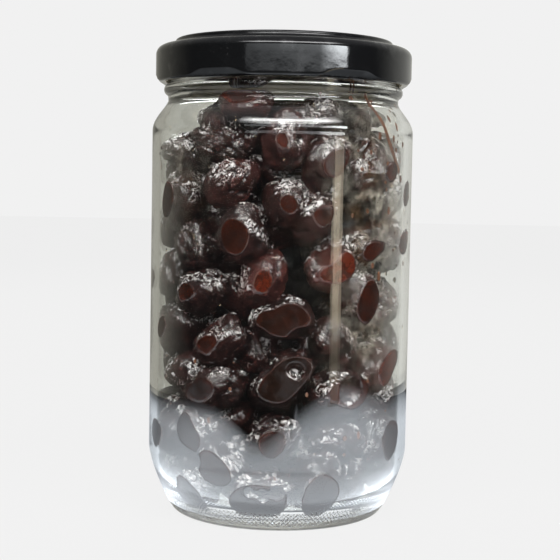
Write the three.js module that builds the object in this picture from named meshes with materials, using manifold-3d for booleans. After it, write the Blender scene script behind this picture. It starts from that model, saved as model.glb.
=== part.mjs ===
// A jar of dry-cured black olives: a clear round glass jar, the heap of wrinkled olives pressed against its
// wall, and a black metal twist-off lid. Millimetres, +Z up, origin at the centre of the foot.
// Angles round the jar are in degrees from the front (-Y), positive towards +X.
import * as THREE from "three";
import { mergeVertices } from "three/addons/utils/BufferGeometryUtils.js";
import Module from "manifold-3d";

const wasm = await Module();
wasm.setup();

// Facets round the jar and the lid, and along each curve of a profile
const ROUND_SEGMENTS = 36;
const CURVE_STEPS = 4;

// Outside of the glass, from the foot up; a pull is how far a curve holds its direction from one end
const FOOT_INNER_RADIUS = 31;
const FOOT_RADIUS = 33.3;
const FOOT_CORNER = 3.4;
const PUSH_UP = 2.4;
const PUSH_UP_FLAT = 22;
const HEEL_LEAN = 35;
const HEEL_LOW_PULL = 4.6;
const HEEL_TOP = 22.6;
const HEEL_TOP_PULL = 5.5;
const BODY_RADIUS = 44;
const SHOULDER_LOW = 128.5;
const SHOULDER_PULL = 4;
const GROOVE_RADIUS = 38.8;
const GROOVE_HEIGHT = 138.4;
const GROOVE_PULL = [0.7, -2.4];
const BEAD_HEIGHT = 142.1;
const BEAD_SECTION = 2.1;
const BEAD_ARC = [-70, 75];
const FINISH_RADIUS = 38.2;
const FINISH_LOW = 144.6;
const GLASS_TOP = 157.5;
const RIM_OUTER_ROUND = 2.3;

// Inside of the glass, from the rim down
const WALL = 2.6;
const RIM_INNER_ROUND = 0.9;
const MOUTH_RADIUS = FINISH_RADIUS - RIM_OUTER_ROUND - RIM_INNER_ROUND;
const NECK_RADIUS = MOUTH_RADIUS + 0.4;
const NECK_LOW = 141;
const NECK_PULL = 5;
const INNER_RADIUS = BODY_RADIUS - WALL;
const INNER_SHOULDER_LOW = 126.5;
const INNER_SHOULDER_PULL = 6.5;
const INNER_HEEL_TOP = 24;
const INNER_HEEL_PULL = 9;
const BASE_TOP = 4.5;
const BASE_FLAT_RADIUS = 30;
const BASE_PULL = [6.4, 0.7];
const BASE_CENTRE_TOP = 6;

// Thread ribs on the neck, one above each lug of the lid
const LUG_COUNT = 6;
const FIRST_LUG = -30;
const RIB_SECTION = 1.35;
const RIB_SWEEP = 34;
const RIB_LOW = 148.2;
const RIB_RISE = 2.2;
const RIB_SINK = 0.2;

// Twist-off lid
const LID_RADIUS = 43.1;
const LID_TOP = 159;
const LID_SHEET = 0.45;
const LID_CORNER = 3;
const LID_SHOULDER = 156.7;
const SKIRT_LOW = 147.4;
const LIP_LOW = 144.3;
const LIP_REACH = 2.3;
const LIP_ROUND = 0.75;
const LIP_ARC = [180, 306];
const LIP_FOLD = [1.2, -0.4];
const RING_OUTER = 36.6;
const RING_INNER = 33;
const RING_ROUND = 0.8;
const PANEL_RADIUS = 31;
const PANEL_DROP = 1.4;
const LUG_INNER = 39.2;
const LUG_OUTER = 41.2;
const LUG_LOW = 144.9;
const LUG_THICKNESS = 1.2;
const LUG_HALF_ANGLE = 6.5;

// Olives
const OLIVE_LENGTH = [17.5, 21.5];
const OLIVE_WIDTH = [14, 16.5];
const OLIVE_SPACING = 14.4;
const OLIVE_RING_RADIUS = INNER_RADIUS - OLIVE_WIDTH[0] / 2;
const OLIVE_PRESS = [0.3, 2.2];
const OLIVE_SWELL = 1.06;
const FRONT_HALF_ANGLE = 78;
const FRONT_SETBACK = 3;
const WALL_TURN = [-180, 180];
const WALL_HEIGHTS = [11, 127];
const WALL_TILT = [0, 180];
const WALL_TRIES = 6000;
const LAYER_TILT = [-25, 25];
const LAYER_COUNT = 9;
const LAYER_RADIUS = 27;
const TOP_HEIGHT = 129;
const TOP_JITTER = 4;
const BOTTOM_HEIGHT = 12.5;
const BOTTOM_JITTER = 1;
const CORE_DEPTH = 8.5;
const CORE_LOW = 11;
const CORE_HIGH = 131;
const CORE_SEGMENTS = 12;
const HEAP_GAP = 0.7;
const SEED = 20;

// Olives that press on the front of the glass: [angle, height, press depth, tilt of the long axis].
const FRONT_OLIVES = [
  [-22, 137, 0.9, 10], [1, 124, 0.55, 85], [23, 118, 0.75, 60], [56, 116, 0.8, 50],
  [-28, 111, 0.2, 45], [-61, 106, 1.3, 90], [4, 105, 0.65, 60], [17, 100.5, 0.4, 60],
  [-20, 95, 1.2, 80], [45, 91, 0.9, 30], [26, 85, 1.6, 40], [-9, 80, 0.7, 70],
  [-44, 76, 0.75, 30], [41, 74.5, 2.2, 88], [2, 68.5, 2.5, 5], [-64, 63, 0.5, 60],
  [-32, 60, 0.6, 45], [3, 50, 3.2, 40], [56, 52, 1.5, 45], [-35, 44.5, 0.9, 30],
  [32, 45, 1.8, 10], [-70, 28, 1, 60], [-42, 32, 1, 70], [-29, 21, 1.7, -45],
  [-2, 30, 1.1, 45], [60, 28, 1.8, 70], [-48, 13.5, 1, -60], [-8, 13, 2.5, 10],
  [22, 16, 1.8, 70], [72, 108, 0.8, 80], [70, 92.5, 0.8, 60], [-78, 80, 0.8, 70],
];

const radians = THREE.MathUtils.degToRad;
const lerp = THREE.MathUtils.lerp;

// A seeded linear congruential draw from 0 up to 1.
let drawState = SEED;
function draw() {
  drawState = (drawState * 1664525 + 1013904223) % 4294967296;
  return drawState / 4294967296;
}
const drawBetween = ([low, high]) => lerp(low, high, draw());

// A three.js geometry as a manifold-3d solid, with collapsed triangles left out.
function solidOf(geometry) {
  const bare = new THREE.BufferGeometry().setAttribute("position", geometry.getAttribute("position"));
  bare.setIndex(geometry.index);
  const merged = mergeVertices(bare, 1e-3);
  const corners = merged.index.array;
  const triVerts = [];
  for (let i = 0; i < corners.length; i += 3) {
    const [a, b, c] = corners.slice(i, i + 3);
    if (a !== b && b !== c && a !== c) triVerts.push(a, b, c);
  }
  return new wasm.Manifold(
    new wasm.Mesh({
      numProp: 3,
      vertProperties: merged.getAttribute("position").array,
      triVerts: new Uint32Array(triVerts),
    }),
  );
}

function geometryOf(solid) {
  const mesh = solid.getMesh();
  const geometry = new THREE.BufferGeometry();
  geometry.setAttribute("position", new THREE.BufferAttribute(mesh.vertProperties, 3));
  geometry.setIndex(new THREE.BufferAttribute(mesh.triVerts, 1));
  geometry.computeVertexNormals();
  return geometry;
}

// The points along a profile of straight and curved stretches.
function profilePoints(path) {
  const stretches = path.curves.map((curve) => curve.getPoints(curve.isLineCurve ? 1 : CURVE_STEPS));
  return [stretches[0][0], ...stretches.flatMap((points) => points.slice(1))];
}

// A closed profile of (radius, height) points turned round the Z axis.
function revolve(points, segments = ROUND_SEGMENTS) {
  const lathe = new THREE.LatheGeometry(points, segments);
  return solidOf(lathe.rotateX(Math.PI / 2));
}

function namedMesh(name, solid, material) {
  const mesh = new THREE.Mesh(geometryOf(solid), material);
  mesh.name = name;
  return mesh;
}

// The outside of the glass, from the centre of the foot up to the top of the rim.
function glassOutside() {
  const lean = radians(HEEL_LEAN);
  const heelStart = new THREE.Vector2(
    FOOT_RADIUS + FOOT_CORNER * Math.cos(lean),
    FOOT_CORNER * (1 - Math.sin(lean)),
  );
  const path = new THREE.Path();
  path.moveTo(0, PUSH_UP);
  path.quadraticCurveTo(PUSH_UP_FLAT, PUSH_UP, FOOT_INNER_RADIUS, 0);
  path.lineTo(FOOT_RADIUS, 0);
  path.absarc(FOOT_RADIUS, FOOT_CORNER, FOOT_CORNER, -Math.PI / 2, -lean);
  path.bezierCurveTo(
    heelStart.x + HEEL_LOW_PULL * Math.sin(lean), heelStart.y + HEEL_LOW_PULL * Math.cos(lean),
    BODY_RADIUS, HEEL_TOP - HEEL_TOP_PULL,
    BODY_RADIUS, HEEL_TOP,
  );
  path.lineTo(BODY_RADIUS, SHOULDER_LOW);
  path.bezierCurveTo(
    BODY_RADIUS, SHOULDER_LOW + SHOULDER_PULL,
    GROOVE_RADIUS + GROOVE_PULL[0], GROOVE_HEIGHT + GROOVE_PULL[1],
    GROOVE_RADIUS, GROOVE_HEIGHT,
  );
  path.absarc(FINISH_RADIUS, BEAD_HEIGHT, BEAD_SECTION, ...BEAD_ARC.map(radians));
  path.lineTo(FINISH_RADIUS, FINISH_LOW);
  path.lineTo(FINISH_RADIUS, GLASS_TOP - RIM_OUTER_ROUND);
  path.absarc(
    FINISH_RADIUS - RIM_OUTER_ROUND, GLASS_TOP - RIM_OUTER_ROUND, RIM_OUTER_ROUND,
    0, Math.PI / 2,
  );
  return profilePoints(path);
}

// The inside of the glass, from the rim down to the centre of the base.
function glassInside() {
  const path = new THREE.Path();
  path.moveTo(MOUTH_RADIUS, GLASS_TOP - RIM_INNER_ROUND);
  path.lineTo(NECK_RADIUS, NECK_LOW);
  path.bezierCurveTo(
    NECK_RADIUS, NECK_LOW - NECK_PULL,
    INNER_RADIUS, INNER_SHOULDER_LOW + INNER_SHOULDER_PULL,
    INNER_RADIUS, INNER_SHOULDER_LOW,
  );
  path.lineTo(INNER_RADIUS, INNER_HEEL_TOP);
  path.bezierCurveTo(
    INNER_RADIUS, INNER_HEEL_TOP - INNER_HEEL_PULL,
    BASE_FLAT_RADIUS + BASE_PULL[0], BASE_TOP + BASE_PULL[1],
    BASE_FLAT_RADIUS, BASE_TOP,
  );
  path.quadraticCurveTo(BASE_FLAT_RADIUS / 2, BASE_CENTRE_TOP, 0, BASE_CENTRE_TOP);
  return profilePoints(path);
}

// The inner radius of the glass at a height.
const insidePoints = glassInside();
function wallRadius(height) {
  const above = insidePoints.findIndex((point) => point.y <= height);
  const low = insidePoints[above];
  const high = insidePoints[above - 1];
  return lerp(low.x, high.x, (height - low.y) / (high.y - low.y));
}

// One rib of the interrupted thread: a short rising arc round the neck.
class RibPath extends THREE.Curve {
  constructor(startAngle) {
    super();
    this.startAngle = startAngle;
  }
  getPoint(t, target = new THREE.Vector3()) {
    const angle = radians(this.startAngle + RIB_SWEEP * t);
    const radius = FINISH_RADIUS - RIB_SINK;
    return target.set(radius * Math.sin(angle), -radius * Math.cos(angle), RIB_LOW + RIB_RISE * t);
  }
}

function threadRib(startAngle) {
  const section = new THREE.Shape().absarc(0, 0, RIB_SECTION, 0, 2 * Math.PI);
  return solidOf(
    new THREE.ExtrudeGeometry(section, {
      extrudePath: new RibPath(startAngle),
      steps: CURVE_STEPS,
      curveSegments: CURVE_STEPS,
    }),
  );
}

const lugAngles = Array.from({ length: LUG_COUNT }, (_, i) => FIRST_LUG + (360 / LUG_COUNT) * i);

function glassJar() {
  const rim = new THREE.Path();
  rim.absarc(
    MOUTH_RADIUS + RIM_INNER_ROUND, GLASS_TOP - RIM_INNER_ROUND, RIM_INNER_ROUND,
    Math.PI / 2, Math.PI,
  );
  const glass = revolve([...glassOutside(), ...profilePoints(rim).slice(1), ...glassInside().slice(1)]);
  return lugAngles.reduce((jar, angle) => jar.add(threadRib(angle - RIB_SWEEP / 2)), glass);
}

// The lid's sheet: out along its underside, down inside the skirt, round the lip and back over the top.
function lidSheet() {
  const panel = LID_TOP - PANEL_DROP;
  const inner = LID_RADIUS - LID_SHEET;
  const corner = LID_SHOULDER - LID_CORNER;
  const lipRadius = LID_RADIUS - LIP_REACH;
  const path = new THREE.Path();
  path.moveTo(0, panel - LID_SHEET);
  path.lineTo(PANEL_RADIUS, panel - LID_SHEET);
  path.lineTo(RING_INNER, LID_TOP - LID_SHEET);
  path.lineTo(RING_OUTER - RING_ROUND, LID_TOP - LID_SHEET);
  path.lineTo(RING_OUTER - LID_SHEET, LID_TOP - 2 * LID_SHEET);
  path.lineTo(LID_RADIUS - LID_CORNER, LID_SHOULDER - LID_SHEET);
  path.absarc(LID_RADIUS - LID_CORNER, corner, LID_CORNER - LID_SHEET, Math.PI / 2, 0, true);
  path.lineTo(inner, SKIRT_LOW + LIP_FOLD[0]);
  path.lineTo(lipRadius + LIP_ROUND, SKIRT_LOW + LIP_FOLD[1]);
  path.absarc(lipRadius, LIP_LOW + LIP_ROUND, LIP_ROUND, ...LIP_ARC.map(radians));
  path.lineTo(LID_RADIUS, SKIRT_LOW);
  path.lineTo(LID_RADIUS, corner);
  path.absarc(LID_RADIUS - LID_CORNER, corner, LID_CORNER, 0, Math.PI / 2);
  path.lineTo(RING_OUTER, LID_TOP - RING_ROUND);
  path.absarc(RING_OUTER - RING_ROUND, LID_TOP - RING_ROUND, RING_ROUND, 0, Math.PI / 2);
  path.lineTo(RING_INNER, LID_TOP);
  path.lineTo(PANEL_RADIUS, panel);
  path.lineTo(0, panel);
  return revolve(profilePoints(path));
}

// A tab of the lip that turns in under a thread rib.
function lidLug(angle) {
  const start = radians(angle - 90 - LUG_HALF_ANGLE);
  const end = radians(angle - 90 + LUG_HALF_ANGLE);
  const sector = new THREE.Shape();
  sector.absarc(0, 0, LUG_OUTER, start, end);
  sector.absarc(0, 0, LUG_INNER, end, start, true);
  const tab = new THREE.ExtrudeGeometry(sector, {
    depth: LUG_THICKNESS,
    bevelEnabled: false,
    curveSegments: 1,
  });
  return solidOf(tab.translate(0, 0, LUG_LOW));
}

function lid() {
  return lugAngles.reduce((cap, angle) => cap.add(lidLug(angle)), lidSheet());
}

function drawSize() {
  return { length: drawBetween(OLIVE_LENGTH), width: drawBetween(OLIVE_WIDTH) };
}

// Olives all round the wall: the front ones first, then seeded throws that keep their distance from the rest.
function wallOlives() {
  const olives = FRONT_OLIVES.map(([angle, height, press, tilt]) => ({
    angle, height, press, tilt, ...drawSize(),
  }));
  for (let i = 0; i < WALL_TRIES; i++) {
    const angle = drawBetween(WALL_TURN);
    const height = drawBetween(WALL_HEIGHTS);
    const clear = olives.every((other) => {
      const turn = THREE.MathUtils.euclideanModulo(angle - other.angle + 180, 360) - 180;
      const across = radians(turn) * OLIVE_RING_RADIUS;
      return Math.hypot(across, height - other.height) > OLIVE_SPACING;
    });
    if (!clear) continue;
    const setback = Math.abs(angle) < FRONT_HALF_ANGLE ? FRONT_SETBACK : 0;
    const press = drawBetween(OLIVE_PRESS) - setback;
    const tilt = drawBetween(WALL_TILT);
    olives.push({ angle, height, press, tilt, ...drawSize() });
  }
  return olives.map((olive) => ({
    ...olive,
    radius: wallRadius(olive.height) - olive.width / 2 + olive.press,
  }));
}

// A layer of olives across the jar, spread like the seeds of a sunflower.
function layerOlives(height, jitter) {
  const goldenAngle = 180 * (3 - Math.sqrt(5));
  return Array.from({ length: LAYER_COUNT }, (_, i) => ({
    angle: i * goldenAngle,
    radius: LAYER_RADIUS * Math.sqrt((i + 0.5) / LAYER_COUNT),
    height: height + jitter * (2 * draw() - 1),
    tilt: drawBetween(LAYER_TILT),
    ...drawSize(),
  }));
}

// Draws the points of a geometry in to HEAP_GAP from the glass, which flattens an olive that presses on it.
function pressInside(geometry) {
  const points = geometry.getAttribute("position");
  for (let i = 0; i < points.count; i++) {
    const x = points.getX(i);
    const y = points.getY(i);
    const height = Math.max(points.getZ(i), BASE_CENTRE_TOP + HEAP_GAP);
    const scale = Math.min(1, (wallRadius(height) - HEAP_GAP) / Math.hypot(x, y));
    points.setXYZ(i, x * scale, y * scale, height);
  }
  return geometry;
}

// An olive as a few-sided egg whose long axis lies along the wall, tilted up from level.
function oliveSolid({ angle, radius, height, tilt, length, width }) {
  const egg = new THREE.OctahedronGeometry(0.5 * OLIVE_SWELL, 1);
  egg.scale(length, width, width);
  egg.rotateY(radians(-tilt));
  egg.translate(0, -radius, height);
  egg.rotateZ(radians(angle));
  return solidOf(pressInside(egg));
}

function heapCore() {
  const radius = INNER_RADIUS - CORE_DEPTH;
  const path = new THREE.Path();
  path.moveTo(0, CORE_LOW);
  path.lineTo(radius - CORE_DEPTH / 2, CORE_LOW);
  path.lineTo(radius, CORE_LOW + CORE_DEPTH);
  path.lineTo(radius, CORE_HIGH - CORE_DEPTH);
  path.lineTo(radius - CORE_DEPTH / 2, CORE_HIGH);
  path.lineTo(0, CORE_HIGH);
  return revolve(profilePoints(path), CORE_SEGMENTS);
}

// The heap: a plain core with the olives that show fused on, flattened where they press on the glass.
function oliveHeap() {
  const olives = [
    ...wallOlives(),
    ...layerOlives(TOP_HEIGHT, TOP_JITTER),
    ...layerOlives(BOTTOM_HEIGHT, BOTTOM_JITTER),
  ];
  return wasm.Manifold.union([heapCore(), ...olives.map(oliveSolid)]);
}

const glassMaterial = new THREE.MeshStandardMaterial({
  color: 0xdfe3de, roughness: 0.05, metalness: 0, transparent: true, opacity: 0.3,
});
const lidMaterial = new THREE.MeshStandardMaterial({ color: 0x16171a, roughness: 0.2, metalness: 0.3 });
const oliveMaterial = new THREE.MeshStandardMaterial({ color: 0x2e1a18, roughness: 0.35, metalness: 0 });

const jarOfOlives = new THREE.Group();
jarOfOlives.add(namedMesh("jar", glassJar(), glassMaterial));
jarOfOlives.add(namedMesh("olives", oliveHeap(), oliveMaterial));
jarOfOlives.add(namedMesh("lid", lid(), lidMaterial));

export default jarOfOlives;
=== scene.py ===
"""A glass jar of dry-cured black olives with a black twist-off lid, laid out as a Blender add-on.

Everything is in metres in the row frame: +Z up, origin at the centre of the foot. Angles round the jar are
in degrees from the front (-Y), positive towards +X. Colours are linear, worked out from screen values.
"""
import math

import bpy
import numpy as np
from bpy.props import FloatProperty, FloatVectorProperty, IntProperty, PointerProperty
from mathutils import Matrix, Vector


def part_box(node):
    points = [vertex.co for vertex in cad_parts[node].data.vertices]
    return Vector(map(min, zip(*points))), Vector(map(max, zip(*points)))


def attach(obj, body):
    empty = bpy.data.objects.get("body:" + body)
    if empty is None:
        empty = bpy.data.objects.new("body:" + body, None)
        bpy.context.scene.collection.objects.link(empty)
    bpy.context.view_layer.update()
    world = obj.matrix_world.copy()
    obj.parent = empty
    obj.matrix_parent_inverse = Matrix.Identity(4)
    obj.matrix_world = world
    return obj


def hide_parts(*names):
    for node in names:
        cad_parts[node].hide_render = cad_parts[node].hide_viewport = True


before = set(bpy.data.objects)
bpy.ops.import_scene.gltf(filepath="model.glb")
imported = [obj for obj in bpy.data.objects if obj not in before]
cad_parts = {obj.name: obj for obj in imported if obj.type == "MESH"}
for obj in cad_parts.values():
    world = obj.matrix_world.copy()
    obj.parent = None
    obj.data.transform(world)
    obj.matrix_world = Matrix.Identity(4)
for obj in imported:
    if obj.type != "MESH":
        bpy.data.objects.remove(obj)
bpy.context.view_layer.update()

bl_info = {
    "name": "Jar of Olives",
    "version": (1, 0, 0),
    "blender": (4, 5, 0),
    "location": "View3D > Sidebar > Olive Jar",
    "description": "Builds a shut glass jar of wrinkled black olives with its lid and a plain stage",
    "category": "Add Mesh",
}

JAR_LOW, JAR_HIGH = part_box("jar")
LID_LOW, LID_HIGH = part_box("lid")
BODY = "root"
MM = 0.001


def screen(red, green, blue):
    """A linear colour from screen values of 0 to 255."""
    values = np.array((red, green, blue)) / 255
    linear = np.where(values <= 0.04045, values / 12.92, ((values + 0.055) / 1.055) ** 2.4)
    return tuple(float(value) for value in linear)


def length(name, description, default):
    return FloatProperty(name=name, description=description, default=default, unit="LENGTH", precision=5)


def span(name, description, low, high):
    return FloatVectorProperty(name=name, description=description, default=(low, high), size=2, unit="LENGTH")


def degrees(name, description, default):
    return FloatProperty(name=name, description=description, default=default)


def colour(name, description, rgb):
    return FloatVectorProperty(name=name, description=description, default=rgb, size=3, subtype="COLOR")


# Settings that a user would change

class GlassSettings(bpy.types.PropertyGroup):
    """Sizes and tint of the glass jar."""

    body_radius: length("Body radius", "Outer radius of the straight body", JAR_HIGH.x)
    top: length("Top", "Height of the rim under the lid", JAR_HIGH.z)
    wall: length("Wall", "Thickness of the body's wall", 2.6 * MM)
    foot_radius: length("Foot radius", "Outer radius of the flat foot ring", 33.3 * MM)
    foot_inner: length("Foot inner radius", "Inner radius of the flat foot ring", 31 * MM)
    push_up: length("Push-up", "Rise of the base inside the foot ring", 2.4 * MM)
    heel_top: length("Heel top", "Height where the heel meets the straight body", 22.6 * MM)
    shoulder_low: length("Shoulder", "Height where the body starts to draw in", 128.5 * MM)
    groove_radius: length("Groove radius", "Outer radius of the groove under the bead", 38.8 * MM)
    groove_height: length("Groove height", "Height of the groove", 138.4 * MM)
    bead_height: length("Bead height", "Height of the bead under the lid", 142.1 * MM)
    bead_section: length("Bead section", "Radius of the bead's round section", 2.1 * MM)
    finish_radius: length("Finish radius", "Outer radius of the neck inside the lid", 38.2 * MM)
    base_top: length("Base top", "Height of the inner floor at its edge", 4.5 * MM)
    seam_angle: degrees("Seam angle", "Place of the mould seam, degrees from the front", 6.6)
    seam_height: length("Seam height", "How far the mould seam stands out", 0.16 * MM)
    stipple_height: length("Stipple height", "Height of the bumps round the heel", 0.45 * MM)
    unevenness: length("Unevenness", "Slow waviness of the inner face", 0.04 * MM)
    tint: colour("Tint", "Colour of the glass", (0.955, 0.97, 0.96))


class LidSettings(bpy.types.PropertyGroup):
    """Sizes and lacquer of the twist-off lid."""

    radius: length("Radius", "Outer radius of the skirt", LID_HIGH.x)
    top: length("Top", "Height of the raised ring", LID_HIGH.z)
    lip_low: length("Lip", "Lowest point of the rolled lip", LID_LOW.z)
    sheet: length("Sheet", "Thickness of the tinplate", 0.45 * MM)
    corner: length("Corner", "Radius between skirt and top", 3 * MM)
    shoulder: length("Shoulder", "Height at the inner end of the corner", 156.7 * MM)
    skirt_low: length("Skirt", "Height where the skirt turns in", 147.4 * MM)
    lip_reach: length("Lip reach", "How far the lip turns in", 2.3 * MM)
    ring_outer: length("Ring outer radius", "Outer radius of the raised ring", 36.6 * MM)
    ring_inner: length("Ring inner radius", "Inner radius of the raised ring", 33 * MM)
    panel_radius: length("Panel radius", "Radius of the flat centre panel", 31 * MM)
    panel_drop: length("Panel drop", "Depth of the panel below the ring", 1.4 * MM)
    lug_count: IntProperty(name="Lugs", description="Tabs that turn in under the thread", default=6)
    first_lug: degrees("First lug", "Place of one lug, degrees from the front", -30)
    lug_depth: length("Lug depth", "How far a lug reaches in past the lip", 1.5 * MM)
    lacquer: colour("Lacquer", "Colour of the outside", (0.0022, 0.0023, 0.0025))
    lining: colour("Lining", "Colour of the inside", screen(206, 194, 168))


class OliveSettings(bpy.types.PropertyGroup):
    """Sizes, layout and colours of the olives."""

    length: span("Length", "Shortest and longest olive", 17.5 * MM, 21.5 * MM)
    width: span("Width", "Thinnest and thickest olive", 14 * MM, 16.5 * MM)
    spacing: length("Spacing", "Least distance between olives along the wall", 14.4 * MM)
    press: span("Press", "How far olives flatten against the glass", 0.3 * MM, 2.2 * MM)
    reach: length("Reach", "How far a pressed skin sinks into the glass, so that no air shows", 0.25 * MM)
    fold_depth: length("Fold depth", "Depth of the long folds", 0.75 * MM)
    crease_depth: length("Crease depth", "Depth of the finer creases", 0.3 * MM)
    crumple: length("Crumple", "Height of the sharp small facets between creases", 0.12 * MM)
    lump_height: length("Lump height", "Height of slow lumps", 0.7 * MM)
    seed: IntProperty(name="Seed", description="Seed of the layout", default=20)
    skin_dark: colour("Dark skin", "Blackest skins", (0.0025, 0.0016, 0.0015))
    skin_red: colour("Red skin", "Reddest skins", (0.026, 0.0075, 0.0062))
    patch_dark: colour("Dark patch", "Darkest skins pressed on the glass", (0.0035, 0.0017, 0.001))
    patch_red: colour("Red patch", "Reddest skins pressed on the glass", (0.034, 0.0055, 0.0022))
    # Sheen and bloom are painted highlights: pale colour on the upward-facing facets of the skin, standing in
    # for the lamp's reflection on wet skin.
    painted_sheen: colour("Sheen", "Duller facets on the upper sides", (0.05, 0.033, 0.031))
    painted_highlight: colour("Bloom", "Palest facets on the upper sides", (0.26, 0.245, 0.245))
    # The rim colour is a painted highlight: the pale glint on the oil drawn up round a pressed patch.
    rim: colour("Rim", "Oil drawn up round a pressed patch", (0.05, 0.033, 0.028))


class FilmSettings(bpy.types.PropertyGroup):
    """The smears, drops and specks on the inside of the glass."""

    inset: length("Inset", "Distance of the film from the glass", 0.06 * MM)
    haze: colour("Haze", "Colour of the dried film", screen(140, 132, 120))
    speck: colour("Speck", "Colour of skin specks and drips", (0.075, 0.027, 0.009))
    drop_count: IntProperty(name="Drops", description="Clear oil drops on the wall", default=90)
    speck_count: IntProperty(name="Specks", description="Red specks on the wall", default=46)


class StageSettings(bpy.types.PropertyGroup):
    """Camera, floor and lights."""

    camera_distance: length("Camera distance", "From the jar's axis, level", 0.4551)
    camera_height: length("Camera height", "Above the floor", 0.1098)
    camera_pitch: degrees("Camera pitch", "Degrees below level", 3.95)
    camera_roll: degrees("Camera roll", "Degrees, anticlockwise", 1.05)
    camera_lens: FloatProperty(name="Lens", description="Focal length in mm", default=85.67)
    backdrop: colour("Backdrop", "Colour behind the jar", screen(241, 241, 241))
    table_glow: FloatProperty(name="Table glow", description="Brightness of the lit table", default=4.15)


SETTINGS = {
    "olive_jar_glass": GlassSettings,
    "olive_jar_lid": LidSettings,
    "olive_jar_olives": OliveSettings,
    "olive_jar_film": FilmSettings,
    "olive_jar_stage": StageSettings,
}


def settings(part):
    return getattr(bpy.context.scene, f"olive_jar_{part}")


# Profiles: arrays of (radius, height)

def line(*points):
    return np.array(points, float)


def arc(centre, radius, start, end, steps=12):
    """Part of a circle between two angles in degrees."""
    turn = np.radians(np.linspace(start, end, steps + 1))
    return np.array(centre) + radius * np.column_stack((np.cos(turn), np.sin(turn)))


def curve(start, start_pull, end_pull, end, steps=20):
    """A cubic curve from start to end that aims at the two pull points."""
    t = np.linspace(0, 1, steps + 1)[:, None]
    start, start_pull, end_pull, end = map(np.array, (start, start_pull, end_pull, end))
    return (
        (1 - t) ** 3 * start
        + 3 * (1 - t) ** 2 * t * start_pull
        + 3 * (1 - t) * t**2 * end_pull
        + t**3 * end
    )


def joined(*stretches):
    """Stretches end to end, without doubled points."""
    points = np.vstack(stretches)
    step = np.linalg.norm(np.diff(points, axis=0), axis=1)
    return points[np.concatenate(([True], step > 1e-7))]


def finer(points, step):
    """The same profile with points at most step apart."""
    stretches = []
    for low, high in zip(points[:-1], points[1:]):
        count = max(1, math.ceil(np.linalg.norm(high - low) / step))
        stretches.append(low + (high - low) * np.linspace(0, 1, count + 1)[:-1, None])
    return np.vstack(stretches + [points[-1:]])


def glass_outside(glass):
    """The outside of the glass, from the centre of the foot to the top of the rim."""
    corner, lean = 3.4 * MM, math.radians(35)
    heel = np.array((glass.foot_radius + corner * math.cos(lean), corner * (1 - math.sin(lean))))
    heel_pull = heel + 4.6 * MM * np.array((math.sin(lean), math.cos(lean)))
    body, groove = glass.body_radius, np.array((glass.groove_radius, glass.groove_height))
    rim_round = 2.3 * MM
    # Short rows at both ends of the straight wall keep its smooth shading straight between them.
    end_row = 3 * MM
    return joined(
        curve((0, glass.push_up), (15 * MM, glass.push_up), (25 * MM, 1.6 * MM), (glass.foot_inner, 0), 12),
        line((glass.foot_radius, 0)),
        arc((glass.foot_radius, corner), corner, -90, -35, 10),
        curve(heel, heel_pull, (body, glass.heel_top - 5.5 * MM), (body, glass.heel_top), 28),
        line((body, glass.heel_top + end_row), (body, glass.shoulder_low - end_row)),
        curve(
            (body, glass.shoulder_low),
            (body, glass.shoulder_low + 4 * MM),
            groove + np.array((0.7, -2.4)) * MM,
            groove,
            30,
        ),
        arc((glass.finish_radius, glass.bead_height), glass.bead_section, -70, 75, 20),
        line((glass.finish_radius, glass.bead_height + 2.5 * MM)),
        line((glass.finish_radius, glass.top - rim_round)),
        arc((glass.finish_radius - rim_round, glass.top - rim_round), rim_round, 0, 90, 10),
    )


def glass_inside(glass):
    """The inside of the glass, from the rim down to the centre of the inner floor."""
    wall = glass.body_radius - glass.wall
    rim_round = 0.9 * MM
    mouth = glass.finish_radius - 2.3 * MM - rim_round
    neck, neck_low = mouth + 0.4 * MM, 141 * MM
    shoulder, heel_top = glass.shoulder_low - 2 * MM, glass.heel_top + 1.4 * MM
    floor, floor_edge, centre = glass.base_top, 30 * MM, glass.base_top + 1.5 * MM
    return joined(
        arc((mouth + rim_round, glass.top - rim_round), rim_round, 90, 180, 8),
        line((neck, neck_low)),
        curve((neck, neck_low), (neck, neck_low - 5 * MM), (wall, shoulder + 6.5 * MM), (wall, shoulder), 24),
        line((wall, heel_top)),
        curve(
            (wall, heel_top),
            (wall, heel_top - 9 * MM),
            (floor_edge + 6.4 * MM, floor + 0.7 * MM),
            (floor_edge, floor),
            30,
        ),
        curve((floor_edge, floor), (20 * MM, floor + MM), (10 * MM, centre), (0, centre), 12),
    )


class InnerWall:
    """The inner face of the glass as a radius for each height."""

    def __init__(self, glass):
        inside = glass_inside(glass)
        lowest = int(np.argmin(inside[:, 1]))
        rising = inside[lowest::-1]
        self.heights, self.radii = rising[:, 1], rising[:, 0]
        self.floor = glass.base_top + 1.5 * MM
        self.radius_of_body = glass.body_radius - glass.wall

    def radius(self, height):
        return np.interp(height, self.heights, self.radii)


# Meshes

def front_angles(count):
    """Evenly spaced angles in radians, from the front."""
    return np.arange(count) * 2 * np.pi / count


def turned(profile, count, swell=None):
    """Vertices and faces of a profile turned round Z. It starts and ends on the axis, and swell is added to
    the radius of each inner profile point at each angle."""
    angles = front_angles(count)
    rows = profile[1:-1]
    radius = rows[:, :1] + (0 if swell is None else swell)
    radius = np.broadcast_to(radius, (len(rows), count))
    height = np.broadcast_to(rows[:, 1:], radius.shape)
    ring = np.stack((radius * np.sin(angles), -radius * np.cos(angles), height), axis=-1).reshape(-1, 3)
    points = np.vstack(([[0, 0, profile[0, 1]]], ring, [[0, 0, profile[-1, 1]]]))
    here = np.arange(count)
    there = np.roll(here, -1)
    last = 1 + (len(rows) - 1) * count
    faces = [(0, 1 + b, 1 + a) for a, b in zip(here, there)]
    for row in range(len(rows) - 1):
        low = 1 + row * count
        high = low + count
        faces += list(zip(low + here, low + there, high + there, high + here))
    faces += [(last + a, last + b, len(points) - 1) for a, b in zip(here, there)]
    return points, faces


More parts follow.
